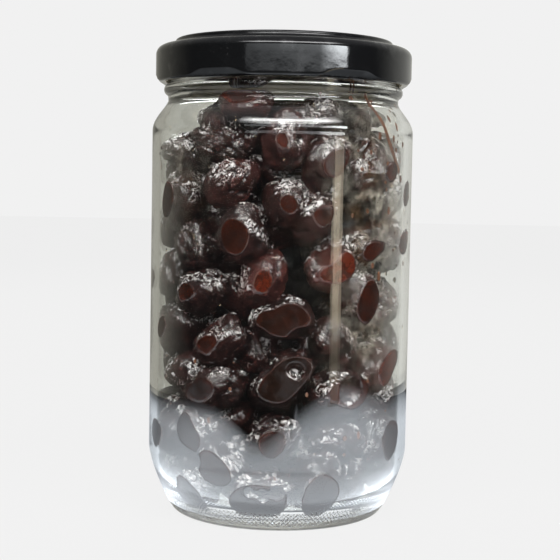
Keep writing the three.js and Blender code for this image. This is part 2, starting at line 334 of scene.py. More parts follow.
def piece(name, points, faces, material, replaces=None):
    """A smooth mesh object that rides on the part's one body."""
    mesh = bpy.data.meshes.new(name)
    mesh.from_pydata(points, [], [tuple(int(i) for i in face) for face in faces])
    mesh.validate()
    mesh.shade_smooth()
    mesh.materials.append(material)
    made = bpy.data.objects.new(name, mesh)
    bpy.context.scene.collection.objects.link(made)
    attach(made, BODY)
    if replaces:
        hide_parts(replaces)
    return made


def point_values(made, name, values):
    """Stores one number for each vertex, for a material to read."""
    attribute = made.data.attributes.new(name, "FLOAT", "POINT")
    attribute.data.foreach_set("value", np.asarray(values, np.float32))


class Waves:
    """A smooth random field: a sum of plane waves with seeded directions and phases."""

    def __init__(self, rng, slowest, fastest, count, stretch=(1, 1, 1)):
        direction = rng.normal(size=(count, 3))
        direction /= np.linalg.norm(direction, axis=1)[:, None]
        rate = rng.uniform(slowest, fastest, size=(count, 1))
        self.vectors = 2 * np.pi * rate * direction * np.array(stretch)
        self.phases = rng.uniform(0, 2 * np.pi, size=count)
        self.scale = math.sqrt(2 / count)

    def at(self, points):
        return self.scale * np.cos(points @ self.vectors.T + self.phases).sum(axis=1)


# Materials

def new_material(name):
    material = bpy.data.materials.new(name)
    material.use_nodes = True
    material.node_tree.nodes.clear()
    return material, material.node_tree


def node(tree, kind, values=None, **options):
    """A node with its options set and its inputs given as plain values or as sockets to link."""
    made = tree.nodes.new(kind)
    for key, value in options.items():
        setattr(made, key, value)
    for key, value in (values or {}).items():
        if isinstance(value, bpy.types.NodeSocket):
            tree.links.new(value, made.inputs[key])
        else:
            made.inputs[key].default_value = value
    return made


def mixed(tree, factor, first, second):
    """A colour between two others, each given as a socket or as three numbers."""
    ends = [end if isinstance(end, bpy.types.NodeSocket) else (*end, 1) for end in (first, second)]
    made = node(tree, "ShaderNodeMix", {0: factor, 6: ends[0], 7: ends[1]}, data_type="RGBA")
    return made.outputs[2]


def remapped(tree, value, low, high, to_low=0.0, to_high=1.0):
    """A value eased from one range to another."""
    values = {"Value": value, "From Min": low, "From Max": high, "To Min": to_low, "To Max": to_high}
    return node(tree, "ShaderNodeMapRange", values, interpolation_type="SMOOTHSTEP").outputs["Result"]


def math_node(tree, operation, first, second=0.0):
    return node(tree, "ShaderNodeMath", {0: first, 1: second}, operation=operation).outputs[0]


def noise(tree, vector, scale, detail=3.0, roughness=0.55, distortion=0.0, output=0):
    """A noise texture: output 0 is its value and 1 its colour."""
    values = {"Vector": vector, "Scale": scale, "Detail": detail, "Roughness": roughness}
    return node(tree, "ShaderNodeTexNoise", {**values, "Distortion": distortion}).outputs[output]


def place(tree):
    """The place of a point on the object, in metres."""
    return node(tree, "ShaderNodeTexCoord").outputs["Object"]


def attribute(tree, name):
    return node(tree, "ShaderNodeAttribute", attribute_name=name).outputs["Fac"]


def surface(tree, shader):
    node(tree, "ShaderNodeOutputMaterial", {"Surface": shader})


def principled(tree, values):
    """One physical shader as a material's whole surface."""
    surface(tree, node(tree, "ShaderNodeBsdfPrincipled", values).outputs[0])


def bumped(tree, strength, distance, height):
    """A normal tipped by a field of heights."""
    values = {"Strength": strength, "Distance": distance, "Height": height}
    return node(tree, "ShaderNodeBump", values).outputs[0]


def vector_node(tree, operation, values):
    return node(tree, "ShaderNodeVectorMath", values, operation=operation).outputs[0]


def group_value(tree, group, values):
    """The one output of a shader node group."""
    return node(tree, "ShaderNodeGroup", values, node_tree=group).outputs[0]


def shared_group(name, inputs, output, fill):
    """A shader node group with a vector and some numbers as inputs and one number as output. It is made
    once, and fill builds its nodes from its inputs and gives the socket for its output."""
    group = bpy.data.node_groups.get(name)
    if group is None:
        group = bpy.data.node_groups.new(name, "ShaderNodeTree")
        group.interface.new_socket(name="Vector", in_out="INPUT", socket_type="NodeSocketVector")
        for label in inputs:
            group.interface.new_socket(name=label, in_out="INPUT", socket_type="NodeSocketFloat")
        group.interface.new_socket(name=output, in_out="OUTPUT", socket_type="NodeSocketFloat")
        given = group.nodes.new("NodeGroupInput").outputs
        node(group, "NodeGroupOutput", {output: fill(group, given)})
    return group


def wrinkle_group():
    """Fine relief of dried skin: winding ridges that follow the contours of a slow noise."""

    def fill(group, given):
        field = noise(group, given["Vector"], given["Scale"], 1.5, 0.5, 0.3)
        return math_node(group, "SINE", math_node(group, "MULTIPLY", field, given["Ridges"]))

    return shared_group("crumpled skin", ("Scale", "Ridges"), "Height", fill)


def highlight_facet_group():
    """A mask of crumpled facets like foil, which places the painted highlights on the skin: warped cells,
    some pale and some dark, and thin winding ridges.
    """

    def fill(group, given):
        bend_scale = math_node(group, "MULTIPLY", given["Scale"], 0.7)
        bend = noise(group, given["Vector"], bend_scale, 2, 0.6, output=1)
        bend = vector_node(group, "SUBTRACT", {0: bend, 1: (0.5, 0.5, 0.5)})
        bend = vector_node(group, "SCALE", {0: bend, "Scale": given["Warp"]})
        where = vector_node(group, "ADD", {0: given["Vector"], 1: bend})
        values = {"Vector": where, "Scale": given["Scale"]}
        cells = node(group, "ShaderNodeTexVoronoi", values)
        edges = node(group, "ShaderNodeTexVoronoi", values, feature="DISTANCE_TO_EDGE")
        drawn = node(group, "ShaderNodeSeparateColor", {0: cells.outputs["Color"]}).outputs[0]
        inside = remapped(group, edges.outputs["Distance"], 0.02, 0.3)
        facets = math_node(group, "MULTIPLY", remapped(group, drawn, 0.3, 0.9), inside)
        winding = noise(group, where, given["Scale"], 2, 0.5)
        off_line = math_node(group, "ABSOLUTE", math_node(group, "SUBTRACT", winding, 0.5))
        return math_node(group, "MAXIMUM", facets, remapped(group, off_line, 0.05, 0.0))

    return shared_group("foil facets", ("Scale", "Warp"), "Mask", fill)


def smear_group():
    """Cloudy patches with streaks, for oil on glass and wiped lacquer."""

    def fill(group, given):
        clouds = noise(group, given["Vector"], given["Scale"], 5, 0.6, 0.8)
        upper = math_node(group, "ADD", given["Cover"], 0.25)
        return remapped(group, clouds, given["Cover"], upper)

    return shared_group("wiped smears", ("Scale", "Cover"), "Mask", fill)


def stipple(tree, where):
    """Staggered rows of small bumps round the heel, just above the foot."""
    column_count, pitch = 160, 1.5 * MM
    x, y, z = node(tree, "ShaderNodeSeparateXYZ", {0: where}).outputs
    turn = math_node(tree, "ARCTAN2", x, y)
    columns = math_node(tree, "SINE", math_node(tree, "MULTIPLY", turn, column_count))
    rows = math_node(tree, "SINE", math_node(tree, "MULTIPLY", z, 2 * math.pi / pitch))
    dots = remapped(tree, math_node(tree, "MULTIPLY", columns, rows), 0.1, 1.0)
    low, high = remapped(tree, z, 1.8 * MM, 2.4 * MM), remapped(tree, z, 7 * MM, 6.2 * MM)
    return math_node(tree, "MULTIPLY", dots, math_node(tree, "MULTIPLY", low, high))


def glass_material(glass):
    """Clear glass that lets lamps through, so that what is inside is lit."""
    material, tree = new_material("clear_glass")
    where = place(tree)
    smears = group_value(tree, smear_group(), {"Vector": where, "Scale": 45, "Cover": 0.55})
    normal = bumped(tree, 1.0, glass.stipple_height, stipple(tree, where))
    roughness = remapped(tree, smears, 0, 1, 0.0, 0.045)
    clear = node(
        tree,
        "ShaderNodeBsdfPrincipled",
        {
            "Base Color": (*glass.tint, 1),
            "Roughness": roughness,
            "IOR": 1.5,
            "Transmission Weight": 1.0,
            "Normal": normal,
        },
    )
    passing = node(tree, "ShaderNodeBsdfTransparent", {"Color": (0.9, 0.92, 0.91, 1)})
    path = node(tree, "ShaderNodeLightPath")
    shader = node(
        tree,
        "ShaderNodeMixShader",
        {0: path.outputs["Is Shadow Ray"], 1: clear.outputs[0], 2: passing.outputs[0]},
    )
    surface(tree, shader.outputs[0])
    return material


def lacquer_material(lid):
    """Glossy black lacquer with faint orange peel and wiping marks."""
    material, tree = new_material("black_lacquer")
    where = place(tree)
    smears = group_value(tree, smear_group(), {"Vector": where, "Scale": 100, "Cover": 0.45})
    roughness = remapped(tree, smears, 0, 1, 0.08, 0.22)
    peel = noise(tree, where, 190, 3, 0.5)
    normal = bumped(tree, 0.16, 0.3 * MM, peel)
    dust = remapped(tree, noise(tree, where, 900, 2, 0.7), 0.68, 0.8)
    tone = mixed(tree, math_node(tree, "MULTIPLY", dust, 0.15), lid.lacquer, (0.12, 0.12, 0.12))
    principled(
        tree,
        {
            "Base Color": tone,
            "Roughness": roughness,
            "Metallic": 0.0,
            "Specular IOR Level": 0.4,
            "Coat Weight": remapped(tree, smears, 0, 1, 0.0, 0.5),
            "Coat Roughness": 0.12,
            "Normal": normal,
        },
    )
    return material


def lining_material(lid):
    """The pale lacquer inside the lid."""
    material, tree = new_material("pale_lining")
    tone = mixed(tree, noise(tree, place(tree), 60), lid.lining, tuple(0.8 * value for value in lid.lining))
    principled(tree, {"Base Color": tone, "Roughness": 0.4})
    return material


def olive_material(olives):
    """Oily wrinkled skin. Where the skin is pressed on the glass it is flat, even and redder, with a thin
    pale rim of oil round it whose paleness is a painted highlight; press is how deep a point is pressed, in
    millimetres, and tint differs by olive. The upper sides carry painted highlights, pale crumpled facets
    that stand in for the lamp's reflection, and the deep folds carry painted shade."""
    material, tree = new_material("olive_skin")
    where, press, tint = place(tree), attribute(tree, "press"), attribute(tree, "tint")
    fold = attribute(tree, "fold")
    patch = remapped(tree, press, -0.01, 0.04)
    # Painted highlight: a pale band round each pressed patch, where oil is drawn up, stands in for the glint
    # on that oil.
    rim = math_node(tree, "SUBTRACT", remapped(tree, press, -0.3, -0.02), patch)
    blotches = noise(tree, where, 260, 4, 0.6)
    rim = math_node(tree, "MULTIPLY", rim, remapped(tree, blotches, 0.4, 0.6, 0.1, 0.5))
    redness = math_node(
        tree, "MULTIPLY", remapped(tree, tint, 0, 1, 0.25, 1.1), remapped(tree, blotches, 0.3, 0.7, 0.3, 1.3)
    )
    skin = mixed(tree, redness, olives.skin_dark, olives.skin_red)
    # Painted shade: the skin is darkened in the deep folds, where shade falls.
    skin = mixed(tree, math_node(tree, "MULTIPLY", fold, 0.75), skin, (0.0012, 0.0008, 0.0008))
    stain = noise(tree, where, 240, 4, 0.6, 0.8)
    edge = remapped(tree, press, 0.05, 0.7, 0.3, 0.0)
    pressed_red = math_node(tree, "MULTIPLY", tint, remapped(tree, stain, 0.35, 0.65, 0.3, 1.3))
    edge_red = math_node(tree, "MULTIPLY", edge, remapped(tree, blotches, 0.35, 0.6, 0.1, 1.0))
    pressed_red = math_node(tree, "ADD", pressed_red, edge_red)
    pressed = mixed(tree, pressed_red, olives.patch_dark, olives.patch_red)
    # Painted highlights: pale crumpled facets on the upward-facing skin stand in for the lamp's reflection, a
    # dull sheen first and a paler tone on top.
    facing = node(tree, "ShaderNodeNewGeometry").outputs["Normal"]
    upward = remapped(tree, node(tree, "ShaderNodeSeparateXYZ", {0: facing}).outputs["Z"], -0.6, 0.65)
    facets = group_value(tree, highlight_facet_group(), {"Vector": where, "Scale": 560, "Warp": 4 * MM})
    painted_highlight = math_node(tree, "MULTIPLY", facets, remapped(tree, noise(tree, where, 120, 2), 0.42, 0.64))
    painted_highlight = math_node(tree, "MULTIPLY", painted_highlight, upward)
    skin = mixed(tree, math_node(tree, "MULTIPLY", painted_highlight, 0.7), skin, olives.painted_sheen)
    skin = mixed(tree, remapped(tree, painted_highlight, 0.15, 0.65), skin, olives.painted_highlight)
    tone = mixed(tree, rim, skin, olives.rim)
    tone = mixed(tree, patch, tone, pressed)
    wrinkles = group_value(tree, wrinkle_group(), {"Vector": where, "Scale": 170, "Ridges": 30})
    free = math_node(tree, "SUBTRACT", 1.0, patch)
    normal = bumped(tree, 1.0, 0.07 * MM, math_node(tree, "MULTIPLY", wrinkles, free))
    roughness = remapped(tree, blotches, 0.3, 0.7, 0.1, 0.22)
    principled(
        tree,
        {
            "Base Color": tone,
            "Roughness": roughness,
            "Specular IOR Level": 0.4,
            "Coat Weight": math_node(tree, "MULTIPLY", free, 0.15),
            "Coat Roughness": 0.08,
            "Normal": normal,
        },
    )
    return material


def core_material():
    """The dark inside of the heap, seen only deep between the olives."""
    material, tree = new_material("heap_core")
    where = place(tree)
    wrinkles = group_value(tree, wrinkle_group(), {"Vector": where, "Scale": 80, "Ridges": 20})
    normal = bumped(tree, 0.6, MM, wrinkles)
    tone = mixed(tree, noise(tree, where, 90), (0.004, 0.003, 0.003), (0.001, 0.001, 0.001))
    principled(tree, {"Base Color": tone, "Roughness": 0.5, "Specular IOR Level": 0.15, "Normal": normal})
    return material


def film_material(film):
    """A thin dried film of oil and brine: smears that cloud the glass here and there."""
    material, tree = new_material("oil_film")
    where = place(tree)
    smears = group_value(tree, smear_group(), {"Vector": where, "Scale": 75, "Cover": 0.47})
    streaks = noise(tree, where, 330, 4, 0.65, 0.4)
    broken = remapped(tree, streaks, 0.3, 0.75, 0.1, 0.75)
    clouded = math_node(tree, "MULTIPLY", smears, broken)
    clouded = math_node(tree, "ADD", clouded, remapped(tree, streaks, 0.3, 0.8, 0.0, 0.3))
    alpha = math_node(tree, "MULTIPLY", clouded, attribute(tree, "haze"))
    normal = bumped(tree, 0.3, 0.2 * MM, streaks)
    stained = remapped(tree, noise(tree, where, 110, 3, 0.5, 0.5), 0.52, 0.66)
    tone = mixed(tree, stained, film.haze, (0.12, 0.068, 0.032))
    principled(
        tree,
        {
            "Base Color": tone,
            "Roughness": 0.3,
            "Alpha": alpha,
            "Normal": normal,
        },
    )
    return material


def speck_material(film):
    """Bits of red skin and juice stuck on the glass."""
    material, tree = new_material("red_speck")
    where = place(tree)
    tone = mixed(tree, noise(tree, where, 700, 3), film.speck, (0.02, 0.006, 0.003))
    principled(tree, {"Base Color": tone, "Roughness": 0.3, "Coat Weight": 0.6})
    return material


def drop_material():
    """Clear amber oil in small drops."""
    material, tree = new_material("oil_drop")
    tone = mixed(tree, noise(tree, place(tree), 500, 2), (0.9, 0.8, 0.62), (0.75, 0.55, 0.34))
    principled(tree, {"Base Color": tone, "Roughness": 0.03, "IOR": 1.46, "Transmission Weight": 1.0})
    return material


# Glass jar

def seam_swell(glass, rows, angles):
    """Two thin mould seams, opposite each other, from the heel to the shoulder."""
    step = angles[1] - angles[0]
    off = (angles - math.radians(glass.seam_angle) + np.pi / 2) % np.pi - np.pi / 2
    across = np.clip(1 - np.abs(off) / step, 0, 1)
    along = np.clip((rows[:, 1] - 3 * MM) / (4 * MM), 0, 1)
    return glass.seam_height * along[:, None] * across


def rib_swell(lid, rows, angles):
    """Short rising ribs on the neck that the lid's lugs turn in under."""
    section, sink, sweep = 1.35 * MM, 0.2 * MM, 34
    low, rise = 148.2 * MM, 2.2 * MM
    swell = np.zeros((len(rows), len(angles)))
    for lug in range(lid.lug_count):
        start = lid.first_lug + 360 / lid.lug_count * lug - sweep / 2
        along = ((np.degrees(angles) - start) % 360) / sweep
        depth = section**2 - (rows[:, 1:] - low - rise * along) ** 2
        rib = np.sqrt(np.maximum(depth, 0)) - sink
        swell = np.maximum(swell, np.where(along <= 1, rib, 0))
    return swell


def glass_mesh(glass, lid):
    """The glass as one closed turned mesh: up the outside, over the rim and down the inside."""
    count, body_step, neck_step, inner_step = 384, 12 * MM, 0.6 * MM, 4 * MM
    neck_low = glass.bead_height + 2.5 * MM
    outside = finer(glass_outside(glass), body_step)
    neck = outside[:, 1] >= neck_low
    outside = np.vstack((outside[~neck], finer(outside[neck], neck_step)))
    inside = finer(glass_inside(glass), inner_step)
    profile = joined(outside, inside)
    rows = profile[1:-1]
    angles = front_angles(count)
    outer = np.arange(len(rows)) < len(outside) - 1
    neck_rows = outer & (rows[:, 1] > neck_low) & (rows[:, 0] > glass.finish_radius - MM)
    body_rows = outer & (rows[:, 0] > glass.foot_radius) & (rows[:, 1] < glass.groove_height)
    swell = np.zeros((len(rows), count))
    swell[body_rows] += seam_swell(glass, rows[body_rows], angles)
    swell[neck_rows] += rib_swell(lid, rows[neck_rows], angles)
    wavy = Waves(np.random.default_rng(4), 0.3, 1.1, 14)
    for index in np.flatnonzero(~outer & (rows[:, 0] > 25 * MM) & (rows[:, 1] < glass.groove_height)):
        around = np.column_stack((np.sin(angles), np.cos(angles), np.full(count, rows[index, 1] / (30 * MM))))
        swell[index] += glass.unevenness * wavy.at(around)
    return turned(profile, count, swell)


class OLIVEJAR_OT_glass(bpy.types.Operator):
    """Makes the glass jar with its seams, stippled heel and thread ribs"""

    bl_idname = "olive_jar.glass"
    bl_label = "Glass jar"

    def execute(self, context):
        glass = settings("glass")
        points, faces = glass_mesh(glass, settings("lid"))
        piece("glass_jar", points, faces, glass_material(glass), "jar")
        return {"FINISHED"}


# Lid

def lid_profile(lid):
    """The lid's sheet: out along the underside, down inside the skirt, round the lip and over the top."""
    panel, sheet, corner = lid.top - lid.panel_drop, lid.sheet, lid.corner
    inner, bend = lid.radius - sheet, lid.shoulder - corner
    lip, lip_round, ring_round, roll = lid.radius - lid.lip_reach, 0.75 * MM, 0.8 * MM, 1.1 * MM
    centre = lid.radius - corner
    return joined(
        line((0, panel - sheet), (lid.panel_radius, panel - sheet)),
        curve(
            (lid.panel_radius, panel - sheet),
            (lid.panel_radius + MM, panel - sheet),
            (lid.ring_inner - MM, lid.top - sheet),
            (lid.ring_inner, lid.top - sheet),
            8,
        ),
        line((lid.ring_outer - ring_round, lid.top - sheet), (lid.ring_outer - sheet, lid.top - 2 * sheet)),
        line((lid.ring_outer - sheet, lid.shoulder - 0.2 * MM)),
        arc((centre, bend), corner - sheet, 90, 0, 8),
        line((inner, lid.skirt_low + 1.2 * MM), (lip + lip_round, lid.skirt_low - 0.4 * MM)),
        arc((lip, lid.lip_low + lip_round), lip_round, 180, 280, 8),
        arc((lid.radius - roll, lid.lip_low + roll), roll, -90, 0, 10),
        finer(line((lid.radius, lid.lip_low + roll), (lid.radius, lid.skirt_low + 2 * MM)), 0.3 * MM),
        line((lid.radius, bend)),
        arc((centre, bend), corner, 0, 84, 14),
        curve(
            (centre + 0.3 * MM, lid.shoulder - 0.02 * MM),
            (lid.ring_outer + MM, lid.shoulder + 0.3 * MM),
            (lid.ring_outer + 0.1 * MM, lid.shoulder + 0.4 * MM),
            (lid.ring_outer, lid.top - ring_round),
            10,
        ),
        arc((lid.ring_outer - ring_round, lid.top - ring_round), ring_round, 0, 90, 8),
        line((lid.ring_inner + 0.4 * MM, lid.top)),
        curve(
            (lid.ring_inner + 0.4 * MM, lid.top),
            (lid.ring_inner - MM, lid.top),
            (lid.panel_radius + MM, panel),
            (lid.panel_radius, panel),
            10,
        ),
        line((0, panel)),
    )


def lug_swell(lid, rows, angles):
    """The lip drawn in at each lug, most at its inner edge."""
    pitch = 360 / lid.lug_count
    off = (np.degrees(angles) - lid.first_lug + pitch / 2) % pitch - pitch / 2
    across = np.clip((19 - np.abs(off)) / 13, 0, 1)
    across = across**2 * (3 - 2 * across)
    along = np.clip((lid.lip_low + 2.6 * MM * across - rows[:, 1:]) / (2.6 * MM), 0, 1)
    return -lid.lug_depth * along


class OLIVEJAR_OT_lid(bpy.types.Operator):
    """Makes the black twist-off lid with its ring, rolled lip and lugs"""

    bl_idname = "olive_jar.lid"
    bl_label = "Lid"

    def execute(self, context):
        lid = settings("lid")
        count = 288
        profile = finer(lid_profile(lid), 2.5 * MM)
        rows = profile[1:-1]
        swell = np.where(rows[:, :1] > 38 * MM, lug_swell(lid, rows, front_angles(count)), 0)
        points, faces = turned(profile, count, swell)
        made = piece("twist_off_lid", points, faces, lacquer_material(lid), "lid")
        made.data.materials.append(lining_material(lid))
        inside = count * int(np.argmin(rows[:, 1]))
        made.data.polygons.foreach_set("material_index", (np.arange(len(faces)) < inside).astype(np.int32))
        return {"FINISHED"}


# Olives

# Olives that press on the front of the glass: angle, height, press depth and tilt in degrees and mm, and how
# red the pressed skin is. The solid heap has the same ones, with less press and tilt at (-42, 32).
FRONT_OLIVES = (
    (-22, 137, 0.9, 10, 0.6), (1, 124, 0.55, 85, 0.35), (23, 118, 0.75, 60, 0.2), (56, 116, 0.8, 50, 0.35),
    (-28, 111, 0.2, 45, 0.5), (-61, 106, 1.3, 90, 0.08), (4, 105, 0.65, 60, 0.22), (17, 100.5, 0.4, 60, 0.25),
    (-20, 95, 1.2, 80, 0.16), (45, 91, 0.9, 30, 0.25), (26, 85, 1.6, 40, 1), (-9, 80, 0.7, 70, 0.75),
    (-44, 76, 0.75, 30, 0.22), (41, 74.5, 2.2, 88, 0.2), (2, 68.5, 2.5, 5, 0.15), (-64, 63, 0.5, 60, 0.08),
    (-32, 60, 0.6, 45, 0.25), (3, 50, 3.2, 40, 0.03), (56, 52, 1.5, 45, 0.6), (-35, 44.5, 0.9, 30, 0.05),
    (32, 45, 1.8, 10, 0.3), (-70, 28, 1, 60, 0.03), (-42, 32, 1.8, 110, 0.05), (-29, 21, 1.7, -45, 0.08),
    (-2, 30, 1.1, 45, 0.1), (60, 28, 1.8, 70, 0.1), (-48, 13.5, 1, -60, 0.03), (-8, 13, 2.5, 10, 0.05),
    (22, 16, 1.8, 70, 0.05), (72, 108, 0.8, 80, 0.2), (70, 92.5, 0.8, 60, 0.3), (-78, 80, 0.8, 70, 0.05),
)  # fmt: skip

# Hollows in pressed skins that leave a gap at the glass: angle, height, radius and depth, in degrees and mm.
SKIN_HOLLOWS = (
    (7, 52.5, 3, 5), (33, 46, 4, 4), (-12, 13.4, 2, 4), (-6.5, 12.6, 2.6, 4), (0, 13.6, 2.2, 4),
    (9, 63, 3.2, 4), (-9, 62.5, 3, 4), (21, 91, 4, 4), (-24, 28, 2.4, 4), (-38, 22, 2, 4),
)  # fmt: skip


class Layout:
    """Where every olive lies. The draws follow the same rule and order as the solid heap."""

    TRIES = 6000
    TURN, TILT = (-180, 180), (0, 180)
    HEIGHTS = (11 * MM, 127 * MM)
    FRONT_HALF_ANGLE, FRONT_SETBACK = 78, 3 * MM
    LAYER_COUNT, LAYER_RADIUS, LAYER_TILT = 9, 27 * MM, (-25, 25)

    def __init__(self, olives, wall):
        self.olives, self.wall = olives, wall
        self.state = olives.seed
        self.ring_radius = wall.radius_of_body - olives.width[0] / 2
        self.at_wall = [self.pressed(a, z * MM, p * MM, t, redness=r) for a, z, p, t, r in FRONT_OLIVES]
        for _ in range(self.TRIES):
            angle, height = self.between(self.TURN), self.between(self.HEIGHTS)
            if all(self.apart(angle, height, other) for other in self.at_wall):
                press = self.between(olives.press)
                if abs(angle) < self.FRONT_HALF_ANGLE:
                    press -= self.FRONT_SETBACK
                self.at_wall.append(self.pressed(angle, height, press, self.between(self.TILT)))
        self.on_top = self.layer(129 * MM, 4 * MM)
        self.below = self.layer(12.5 * MM, MM)

    def draw(self):
        self.state = (self.state * 1664525 + 1013904223) % 4294967296
        return self.state / 4294967296

    def between(self, ends):
        return ends[0] + (ends[1] - ends[0]) * self.draw()

    def sized(self, angle, height, tilt, **more):
        olive_length = self.between(self.olives.length)
        width = self.between(self.olives.width)
        return dict(angle=angle, height=height, tilt=tilt, length=olive_length, width=width, **more)

    def pressed(self, angle, height, press, tilt, **more):
        olive = self.sized(angle, height, tilt, **more)
        olive["radius"] = float(self.wall.radius(height)) - olive["width"] / 2 + press
        return olive

    def apart(self, angle, height, other):
        turn = (angle - other["angle"] + 180) % 360 - 180
        across = math.radians(turn) * self.ring_radius
        return math.hypot(across, height - other["height"]) > self.olives.spacing

    def layer(self, height, jitter):
        golden = 180 * (3 - math.sqrt(5))
        made = []
        for i in range(self.LAYER_COUNT):
            level = height + jitter * (2 * self.draw() - 1)
            tilt = self.between(self.LAYER_TILT)
            radius = self.LAYER_RADIUS * math.sqrt((i + 0.5) / self.LAYER_COUNT)
            made.append(self.sized(i * golden, level, tilt, radius=radius))
        return made

    def inner_ring(self, rng):
        """Olives behind the ones at the wall, seen through the gaps."""
        tries, radius, turn_radius, spacing = 1500, 24 * MM, 25 * MM, 13 * MM
        made = []
        for _ in range(tries):
            angle, height = rng.uniform(-180, 180), rng.uniform(16, 128) * MM
            turns = [math.radians((angle - other["angle"] + 180) % 360 - 180) for other in made]
            rises = [height - other["height"] for other in made]
            if all(math.hypot(turn * turn_radius, rise) > spacing for turn, rise in zip(turns, rises)):
                olive = dict(angle=angle, height=height, tilt=rng.uniform(0, 180), radius=radius)
                olive["length"] = rng.uniform(*self.olives.length)
                olive["width"] = rng.uniform(*self.olives.width)
                made.append(olive)
        return made


def egg_grid(rings, columns):
    """Unit directions over a ball, from an outer pole to an inner one, and the triangles between them."""
    polar = np.pi * np.linspace(0, 1, rings + 1)[1:-1, None]
    around = 2 * np.pi * np.arange(columns) / columns
    ring = np.stack(
        np.broadcast_arrays(np.cos(polar), np.sin(polar) * np.cos(around), np.sin(polar) * np.sin(around)),
        axis=-1,
    ).reshape(-1, 3)
    points = np.vstack(([[1, 0, 0]], ring, [[-1, 0, 0]]))
    here = np.arange(columns)
    there = np.roll(here, -1)
    last = 1 + (rings - 2) * columns
    faces = [np.column_stack((np.zeros_like(here), 1 + here, 1 + there))]
    for row in range(rings - 2):
        low = 1 + row * columns
        high = low + columns
        faces.append(np.column_stack((low + here, high + here, high + there)))
        faces.append(np.column_stack((low + here, high + there, low + there)))
    faces.append(np.column_stack((last + here, np.full_like(here, len(points) - 1), last + there)))
    return points, np.vstack(faces)


class OliveMaker:
    """Makes wrinkled olives one by one and joins them to pieces."""

    def __init__(self, olives, wall):
        self.olives, self.wall = olives, wall
        self.rng = np.random.default_rng(olives.seed)

    def skin(self, olive, directions):
        """Points of one olive's skin, how deep each is in a fold, and how far it is pressed on the glass."""
        olives, rng = self.olives, self.rng
        dried = rng.uniform(0.7, 1.3)
        lumps = Waves(rng, 0.45, 1.0, 8)
        folds = Waves(rng, 0.9, 1.7, 9, (1, 0.45, 1))
        creases = Waves(rng, 2.2, 3.8, 10, (1, 0.7, 1))
        crumples = Waves(rng, 3.4, 5.6, 12, (1, 0.8, 1))
        folded = np.exp(-((folds.at(directions) / 0.32) ** 2))
        creased = np.exp(-((creases.at(directions) / 0.4) ** 2))
        half = np.array((olive["width"], olive["length"], olive["width"] * rng.uniform(0.92, 1.0))) / 2
        plump = self.placed(olive, directions * half)
        clear = np.clip(-self.past_wall(plump) / (1.2 * MM), 0, 1)
        uneven = olives.lump_height * lumps.at(directions)
        wrinkled = olives.fold_depth * folded + olives.crease_depth * creased
        wrinkled += olives.crumple * np.abs(crumples.at(directions))
        relief = uneven * np.maximum(clear, 0.5) - dried * wrinkled * clear
        points = self.placed(olive, directions * (half + relief[:, None]))
        points, press = self.pressed(points)
        return points, folded * clear, press

    def placed(self, olive, local):
        """Points of an olive moved to its place; its first axis looks out and its second is the long one."""
        tilt, turn = math.radians(olive["tilt"]), math.radians(olive["angle"])
        across = local[:, 1] * math.cos(tilt) - local[:, 2] * math.sin(tilt)
        up = local[:, 1] * math.sin(tilt) + local[:, 2] * math.cos(tilt)
        out = olive["radius"] + local[:, 0]
        return np.column_stack((
            out * math.sin(turn) + across * math.cos(turn),
            -out * math.cos(turn) + across * math.sin(turn),
            olive["height"] + up,
        ))

    def past_wall(self, points):
        """How far points stand past the inner face of the glass, in metres."""
        return np.hypot(points[:, 0], points[:, 1]) - self.wall.radius(points[:, 2])

    def pressed(self, points):
        """Points drawn in to the glass, and how far each one stood past it, in millimetres."""
        lowest = self.wall.floor - self.olives.reach
        height = np.maximum(points[:, 2], lowest)
        radius = np.hypot(points[:, 0], points[:, 1])
        limit = self.wall.radius(height) + self.olives.reach
        past = radius - limit - self.hollowed(points)
        inward = np.where(past > 0, limit, np.minimum(radius, limit + past))
        scale = inward / np.maximum(radius, 1e-9)
        placed = np.column_stack((points[:, :2] * scale[:, None], height))
        return placed, np.maximum(past, lowest - points[:, 2]) / MM

    def hollowed(self, points):
        """How far the hollows in pressed skins draw each point in from the glass."""
        angle = np.degrees(np.arctan2(points[:, 0], -points[:, 1]))
        drawn = np.zeros(len(points))
        for centre, height, radius, depth in SKIN_HOLLOWS:
            across = np.radians(angle - centre) * self.wall.radius_of_body
            distance = np.hypot(across, points[:, 2] - height * MM) / (radius * MM)
            drawn += depth * MM * np.exp(-(distance**4))
        return drawn

    def piece(self, name, layout, rings, columns, material):
        directions, faces = egg_grid(rings, columns)
        points, folds, presses, tints, triangles = [], [], [], [], []
        for index, olive in enumerate(layout):
            skin, folded, press = self.skin(olive, directions)
            points.append(skin)
            folds.append(folded)
            presses.append(press)
            drawn = 0.6 * self.rng.beta(1.1, 1.6)
            tints.append(np.full(len(skin), olive.get("redness", drawn)))
            triangles.append(faces + index * len(directions))
        made = piece(name, np.vstack(points), np.vstack(triangles), material, "olives")
        point_values(made, "press", np.concatenate(presses))
        point_values(made, "fold", np.concatenate(folds))
        point_values(made, "tint", np.concatenate(tints))


def core_mesh():
    """A lumpy column inside the heap."""
    column = joined(
        line((0, 12 * MM), (15 * MM, 12 * MM)),
        curve((15 * MM, 12 * MM), (20 * MM, 13 * MM), (22 * MM, 16 * MM), (22 * MM, 22 * MM), 8),
        line((22 * MM, 118 * MM)),
        curve((22 * MM, 118 * MM), (22 * MM, 124 * MM), (18 * MM, 128 * MM), (12 * MM, 129 * MM), 8),
        line((0, 129 * MM)),
    )
    profile = finer(column, 2 * MM)
    count = 96
    angles = front_angles(count)
    lumps = Waves(np.random.default_rng(11), 0.5, 1.2, 12)
    rows = profile[1:-1]
    swell = np.array([
        2.2 * MM * lumps.at(np.column_stack((np.sin(angles), np.cos(angles), np.full(count, z / (22 * MM)))))
        for z in rows[:, 1]
    ])
    swell *= np.clip(rows[:, :1] / (20 * MM), 0, 1)
    return turned(profile, count, swell)


